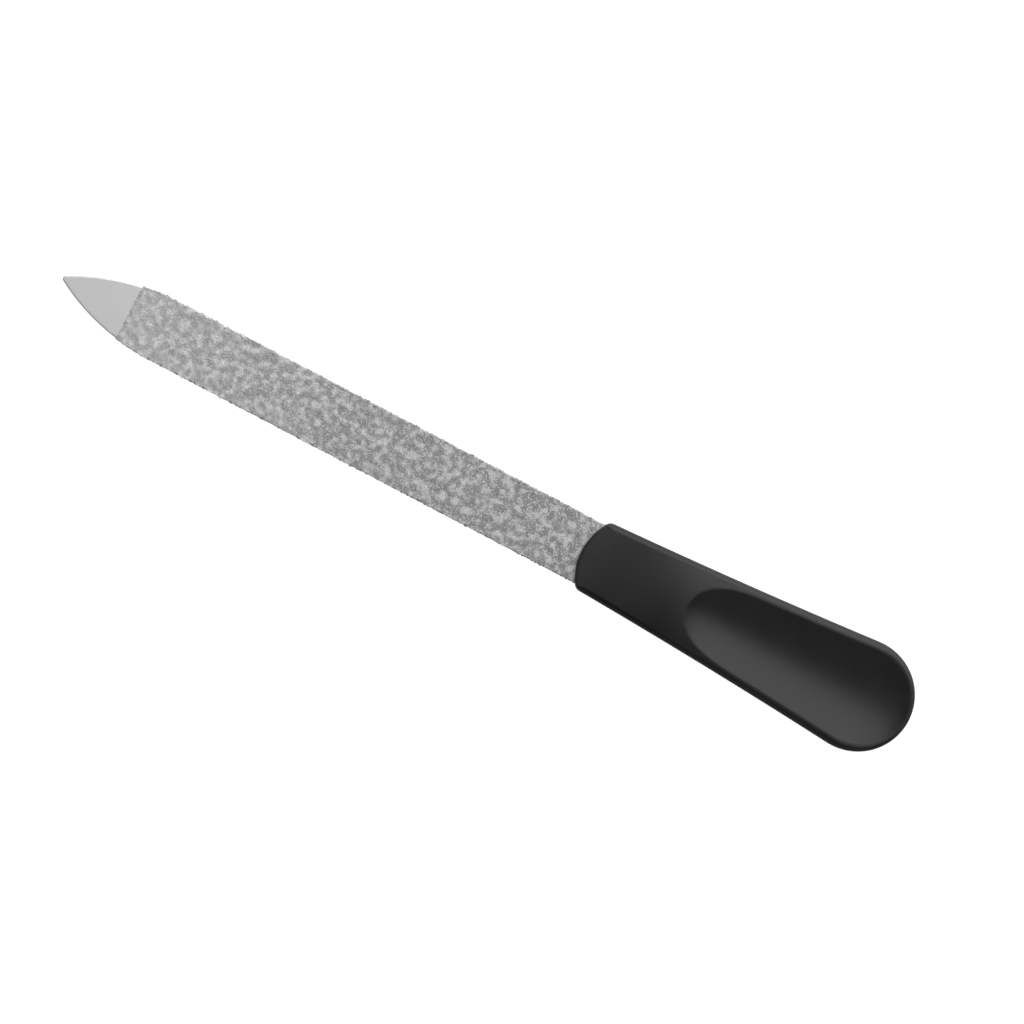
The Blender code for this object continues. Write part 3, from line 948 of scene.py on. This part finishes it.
@dataclass
class Handle:
    """The moulded handle: flared, crowned, and scooped for the thumb above and the finger below.

    A flank is the slope of the scoop's sides and a bottom the radius of its floor, each given at the
    scoop's front and at its end.
    """

    front_wall: float = 0.00056
    slot_gap: float = 0.0001
    front_arc_radius: float = 0.0084
    corner_radius: float = 0.0012
    flare_start_share: float = 0.71
    thickness: float = 0.00514
    front_thickness: float = 0.0036
    end_thickness: float = 0.0038
    crown: float = 0.00045
    front_crown: float = 0.00008
    crown_growth_power: float = 3.0
    edge_width: float = 0.0009
    edge_height: float = 0.0010
    front_round_share: float = 0.35
    scoop_setback: float = 0.0162
    scoop_front_length: float = 0.0110
    scoop_front_power: float = 3.6
    front_flank: float = 0.24
    end_flank: float = 0.285
    front_bottom: float = 0.0015
    end_bottom: float = 0.0035
    outside_fall: float = 0.03
    rim_width: float = 0.0011
    end_rim_width: float = 0.0006
    rim_softness: float = 0.00007
    seam_rise: float = 0.00002
    seam_width: float = 0.00006
    overrun: float = 0.001
    arc_steps: int = 26
    corner_steps: int = 14
    side_steps: int = 230
    end_steps: int = 72
    round_steps: int = 9
    inner_rings: int = 34
    inner_power: float = 1.4
    tangent_passes: int = 12

    def __post_init__(self) -> None:
        """Works out the places that follow from the sizes."""
        self.low, self.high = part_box("handle")
        coat_low, coat_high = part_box("coarse_abrasive")
        steel_low, steel_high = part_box("steel_blank")
        self.middle = (steel_low.z + steel_high.z) / 2
        self.mouth_half = coat_high.y + self.slot_gap
        self.mouth_rear_x = coat_low.x - self.slot_gap
        self.front_half = self.mouth_half + self.front_wall
        self.end_radius = self.high.y
        self.end_x = self.low.x + self.end_radius
        self.scoop_x = self.high.x - self.scoop_setback
        self.scoop_end_x = self.low.x + self.end_rim_width
        self.corner_y = self.front_half - self.corner_radius
        reach = math.sqrt((self.front_arc_radius - self.corner_radius) ** 2 - self.corner_y**2)
        self.corner_x = self.high.x - self.front_arc_radius + reach
        slope = 0.0
        for _ in range(self.tangent_passes):
            lean = math.atan(slope)
            self.meet_x = self.end_x + self.end_radius * math.sin(lean)
            self.growth = self.end_radius * math.cos(lean) - self.front_half
            self.run = self.corner_x - self.meet_x
            slope = (2 - self.flare_start_share) * self.growth / self.run
        self.end_lean = math.atan(slope)

    def side_half(self, x: np.ndarray) -> np.ndarray:
        """Half-width of the flared side at x, held at the round end's where the end begins.

        Args:
            x: Places along the file.

        Returns:
            The half-width at each.
        """
        place = np.clip((self.corner_x - x) / self.run, 0.0, None)
        share = self.flare_start_share * place + (1 - self.flare_start_share) * place**2
        return self.front_half + self.growth * share

    def outline(self) -> Outline:
        """The handle's outline: arched front, rounded corners, flared sides and round end.

        Returns:
            The outline.
        """
        quarter = math.pi / 2
        arc_x = self.high.x - self.front_arc_radius
        turn = math.atan2(self.corner_y, self.corner_x - arc_x)
        front = Outline.arc((arc_x, 0), self.front_arc_radius, 0, turn, self.arc_steps)
        corner = Outline.arc(
            (self.corner_x, self.corner_y), self.corner_radius, turn, quarter, self.corner_steps
        )
        x = np.linspace(self.corner_x, self.meet_x, self.side_steps + 1)[1:-1]
        place = (self.corner_x - x) / self.run
        lean = self.growth / self.run * (
            self.flare_start_share + 2 * (1 - self.flare_start_share) * place
        )
        norm = np.hypot(lean, 1)
        side = np.stack([x, self.side_half(x)], axis=1), np.stack([lean / norm, 1 / norm], axis=1)
        end = Outline.arc(
            (self.end_x, 0), self.end_radius, quarter - self.end_lean, 2 * quarter, self.end_steps
        )
        parts = [front, (corner[0][1:], corner[1][1:]), side, end]
        points, out = (np.concatenate(column) for column in zip(*parts))
        points[[0, -1], 1] = 0.0
        blend = np.linspace(0, 1, self.corner_steps + 1)[1:]
        narrowing = 1 - self.end_rim_width / self.rim_width
        share = np.concatenate([
            np.full(len(front[0]), self.front_round_share),
            self.front_round_share + (1 - self.front_round_share) * blend,
            np.ones(len(x)),
            1 - narrowing * np.maximum(-end[1][:, 0], 0.0),
        ])
        spine_front = self.high.x - self.front_half
        spine_blend = self.high.x - 2 * self.front_half
        along = np.clip((self.corner_x - points[:, 0]) / (self.corner_x - spine_blend), 0.0, 1.0)
        spine = np.where(
            along < 1,
            spine_front + (spine_blend - spine_front) * along,
            np.maximum(points[:, 0], self.end_x),
        )
        return Outline.mirrored(points, out, share, spine)

    def rise(self, x: np.ndarray) -> np.ndarray:
        """How far the crown stands over the crest of the edge at x."""
        share = smooth_step((self.high.x - x) / self.scoop_setback) ** self.crown_growth_power
        return self.front_crown + (self.crown - self.front_crown) * share

    def crest(self, x: np.ndarray) -> np.ndarray:
        """Height of the edge's crest over the mid-plane at x.

        Args:
            x: Places along the file.

        Returns:
            The height at each.
        """
        swell = self.thickness / 2
        front = self.front_thickness / 2
        climb = smooth_step((self.high.x - x) / self.scoop_setback)
        fall = smooth_step((self.scoop_x - x) / (self.scoop_x - self.low.x))
        ahead = front + (swell - front) * climb - self.rise(x)
        behind = (swell - self.crown) * (1 - fall) + self.end_thickness / 2 * fall
        return np.where(x > self.scoop_x, ahead, behind)

    def crowned(self, x: np.ndarray, y: np.ndarray) -> np.ndarray:
        """Height of the uncut crown: arched across, and domed over the round end.

        Args:
            x: Places along the file.
            y: Places across it.

        Returns:
            The height at each.
        """
        domed = np.hypot(x - self.end_x, y) / (self.end_radius - self.edge_width)
        arched = np.abs(y) / (self.side_half(x) - self.edge_width)
        place = np.where(x < self.end_x, domed, arched)
        return self.crest(x) + self.rise(x) * np.maximum(1 - place**2, 0.0)

    def scoop(self, x: np.ndarray, y: np.ndarray) -> np.ndarray:
        """Height of the scoop: flanks that meet the crown along its rim, and a rounded floor.

        Args:
            x: Places along the file.
            y: Places across it.

        Returns:
            The height at each.
        """
        end_half = self.end_radius - self.rim_width
        from_end = np.minimum(x - (self.scoop_end_x + end_half), 0.0)
        full = np.where(x < self.meet_x, self.end_radius, self.side_half(x))
        rim_half = full - self.rim_width
        place = np.minimum((self.scoop_x - x) / self.scoop_front_length, 1.0)
        front = 1 - (1 - place) ** self.scoop_front_power
        plan = front * np.where(from_end < 0, end_half**2 - from_end**2, rim_half**2)
        crest_share = (rim_half / (full - self.edge_width)) ** 2
        rim = self.crest(x) + self.rise(x) * (1 - front * crest_share)
        along = np.clip((self.scoop_x - x) / (self.scoop_x - self.low.x), 0.0, 1.0)
        flank = self.front_flank + (self.end_flank - self.front_flank) * along
        bottom = self.front_bottom + (self.end_bottom - self.front_bottom) * along
        inside = np.hypot(np.sqrt(np.maximum(plan, 0.0)), bottom)
        outside = np.minimum(plan, 0.0) / self.outside_fall
        return rim - flank * (inside - np.hypot(y, bottom)) - outside

    def rings(self) -> np.ndarray:
        """Rings over the upper half: up the edge from the parting line, over it, and in to the spine.

        Returns:
            The points, by ring, place in the ring, and axis.
        """
        outline = self.outline()
        width = self.edge_width * outline.share
        crest = outline.inset(width)
        top = self.crowned(crest[:, 0], crest[:, 1])
        made = [
            ring(outline.points, self.seam_width / 3),
            ring(outline.inset(self.seam_rise), self.seam_width / 2),
        ]
        for angle in np.linspace(0, math.pi / 2, self.round_steps + 1):
            place = outline.inset(self.seam_rise + (width - self.seam_rise) * (1 - math.cos(angle)))
            height = top - np.minimum(self.edge_height, top) * (1 - math.sin(angle))
            made.append(ring(place, self.scooped(place, height)))
        spine = np.stack([outline.spine, np.zeros_like(outline.spine)], axis=1)
        for step in range(1, self.inner_rings + 1):
            inward = (step / self.inner_rings) ** self.inner_power
            place = crest + (spine - crest) * inward
            made.append(ring(place, self.scooped(place, self.crowned(place[:, 0], place[:, 1]))))
        return np.stack(made)

    def scooped(self, place: np.ndarray, height: np.ndarray) -> np.ndarray:
        """The heights after the scoop is taken out, with its rim softened."""
        return soft_least(height, self.scoop(place[:, 0], place[:, 1]), self.rim_softness)

    def build(self) -> None:
        """Models the handle, cuts the mouth for the coated blade, and seats it in the frame."""
        upper = self.rings()
        lower = upper[::-1] * np.array([1.0, 1.0, -1.0])
        rings = np.concatenate([lower, upper])
        rings[:, :, 2] = np.maximum(self.middle + rings[:, :, 2], 0.0)
        handle = Bench.wrap("moulded_handle", rings)
        reach = self.high.x + self.overrun - self.mouth_rear_x
        mouth_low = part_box("fine_abrasive")[0].z - self.slot_gap
        mouth_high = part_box("coarse_abrasive")[1].z
        bpy.ops.mesh.primitive_cube_add(
            size=1,
            location=(self.mouth_rear_x + reach / 2, 0, (mouth_low + mouth_high) / 2),
            scale=(reach, 2 * self.mouth_half, mouth_high - mouth_low),
        )
        Bench.cut(handle, Bench.named("mouth"))
        Bench.take(handle)
        bpy.ops.object.shade_smooth_by_angle(angle=SMOOTH_ANGLE)
        Bench.seat(handle, BlackPlastic(), "black_plastic", "handle")


@dataclass(frozen=True)
class SoftLight:
    """A soft rectangular light: its size, how bright its face is, and where it stands."""

    name: str
    size: tuple[float, float]
    radiance: float
    elevation: float
    distance: float

    def hang(self, aim: Vector, away: Vector) -> None:
        """Adds the light, away from what it points at.

        Args:
            aim: What it points at.
            away: The way from there to the light.
        """
        data = bpy.data.lights.new(self.name, "AREA")
        data.shape = "RECTANGLE"
        data.size, data.size_y = self.size
        data.energy = self.radiance * math.pi * self.size[0] * self.size[1]
        lamp = bpy.data.objects.new(self.name, data)
        lamp.location = aim + away * self.distance
        lamp.rotation_euler = (aim - lamp.location).to_track_quat("-Z", "Y").to_euler()
        bpy.context.scene.collection.objects.link(lamp)


@dataclass
class Studio:
    """The setting: a pale floor, three soft lights on one side, a dim studio, the camera above."""

    floor_size: float = 12.0
    floor_colour: Colour = (0.12, 0.12, 0.12)
    floor_glow: float = 0.99
    sky_tone: float = 0.08
    horizon_tone: float = 0.85
    horizon_height: float = 0.10
    horizon_fade: float = 0.28
    ground_tone: float = 0.3
    lit_ground_gain: float = 1.1
    frame_width: float = 0.13966
    lens: float = 100.0
    sharp_height: float = 0.0025
    centre: tuple[float, float] = (-0.0040, -0.00014)
    turn: float = math.radians(207.68)
    light_bearing: float = math.radians(-38)
    soft_lights: tuple[SoftLight, ...] = (
        SoftLight("softbox", (1.08, 0.74), 4.1, elevation=math.radians(49), distance=0.9),
        SoftLight("panel", (1.0, 1.0), 0.93, elevation=math.radians(76), distance=1.2),
        SoftLight("strip", (2.4, 0.5), 3.0, elevation=math.radians(13), distance=1.3),
    )

    def floor(self) -> None:
        """Lays the floor, which glows so that no shadow greys it, and shows only from above."""
        bpy.ops.mesh.primitive_plane_add(size=self.floor_size)
        floor = Bench.named("floor")
        graph = Graph("pale_floor", Roughness=0.9, Emission_Strength=self.floor_glow)
        graph.shader.inputs["Base Color"].default_value = (*self.floor_colour, 1.0)
        graph.shader.inputs["Emission Color"].default_value = (1.0, 1.0, 1.0, 1.0)
        below = graph.node("ShaderNodeNewGeometry", {}, {}).outputs["Backfacing"]
        clear = graph.node("ShaderNodeBsdfTransparent", {}, {}).outputs[0]
        shown = graph.node("ShaderNodeMixShader", {}, {0: below, 1: graph.shader.outputs[0], 2: clear})
        graph.feed(graph.tree.nodes["Material Output"].inputs["Surface"], shown.outputs[0])
        floor.data.materials.append(graph.material)
        floor.visible_glossy = False

    def lit_side(self, elevation: float) -> Vector:
        """The way to the lit side of the studio, the picture's upper right, at an elevation.

        Args:
            elevation: The elevation.

        Returns:
            The way, one long.
        """
        bearing = self.turn + math.pi / 2 + self.light_bearing
        level = math.cos(elevation)
        return Vector((math.cos(bearing) * level, math.sin(bearing) * level, math.sin(elevation)))

    def lights(self) -> None:
        """Hangs the soft lights over the picture's upper right: one high up, one overhead, one low."""
        for light in self.soft_lights:
            light.hang(Vector((*self.centre, 0.0)), self.lit_side(light.elevation))

    def surroundings(self) -> None:
        """Makes the studio round the floor: dim overhead, pale at the horizon, and one side lit."""
        world = bpy.data.worlds.new("studio")
        world.use_nodes = True
        tree = Tree(world.node_tree)
        direction = tree.node("ShaderNodeTexCoord", {}, {}).outputs["Generated"]
        height = Number(tree, tree.node("ShaderNodeSeparateXYZ", {}, {0: direction}).outputs["Z"])
        product = tree.node(
            "ShaderNodeVectorMath",
            {"operation": "DOT_PRODUCT"},
            {0: direction, 1: self.lit_side(elevation=0.0)},
        )
        facing = Number(tree, product.outputs["Value"])
        above = ((height - self.horizon_height) / self.horizon_fade).held()
        below = (height / -self.horizon_height).held()
        wall = self.horizon_tone + (self.sky_tone - self.horizon_tone) * above
        ground = self.ground_tone + facing.held() * self.lit_ground_gain
        tone = wall * (1 - below) + ground * below
        tree.feed(tree.tree.nodes["Background"].inputs["Strength"], tone)
        tree.tree.nodes["Background"].inputs["Color"].default_value = (1.0, 1.0, 1.0, 1.0)
        bpy.context.scene.world = world

    def camera(self) -> None:
        """Sets the camera straight above, turned so that the tip points to the upper left."""
        data = bpy.data.cameras.new("camera")
        data.lens = self.lens
        camera = bpy.data.objects.new("camera", data)
        height = self.frame_width * self.lens / data.sensor_width + self.sharp_height
        camera.location = (*self.centre, height)
        camera.rotation_euler = Euler((0.0, 0.0, self.turn))
        bpy.context.scene.collection.objects.link(camera)
        bpy.context.scene.camera = camera
        bpy.context.scene.view_settings.view_transform = "Standard"

    def build(self) -> None:
        """Makes the whole setting."""
        self.floor()
        self.lights()
        self.surroundings()
        self.camera()


def coats(blank: SteelBlank) -> list[AbrasiveCoat]:
    """The coarse coat of the front face and the fine coat of the back.

    Args:
        blank: The blade that carries them.

    Returns:
        The two coats.
    """
    return [
        AbrasiveCoat(
            name="coarse", node="coarse_abrasive", slot="coarse_grit", face=Face.FRONT, blank=blank,
            bond_thickness=0.00016,
            bond_finish=NickelBond("coarse_bond", (0.34, 0.34, 0.34), (0.46, 0.46, 0.46)),
            grains=Grains("coarse_grains", spacing=0.00027, size=0.00040, lift_share=0.0, seed=11, chips=3),
            grit_finish=Grit("coarse_grit", (0.218, 0.218, 0.218), (0.515, 0.515, 0.515), tip_brightening_gain=0.55),
        ),
        AbrasiveCoat(
            name="fine", node="fine_abrasive", slot="fine_grit", face=Face.BACK, blank=blank,
            bond_thickness=0.00013,
            bond_finish=NickelBond("fine_bond", (0.30, 0.30, 0.30), (0.44, 0.44, 0.44)),
            grains=Grains("fine_grains", spacing=0.00021, size=0.00026, lift_share=0.05, seed=23, chips=2),
            grit_finish=Grit("fine_grit", (0.32, 0.32, 0.32), (0.64, 0.64, 0.64), clump=0.0006),
        ),
    ]


def main() -> None:
    """Builds the pieces in order, then the studio."""
    logging.basicConfig(level=logging.INFO)
    blank = SteelBlank()
    Bench.seat(blank.build(), SatinSteel(), "satin_steel", "steel_blank")
    for coat in coats(blank):
        coat.build()
    Handle().build()
    Studio().build()


if __name__ == "__main__":
    main()
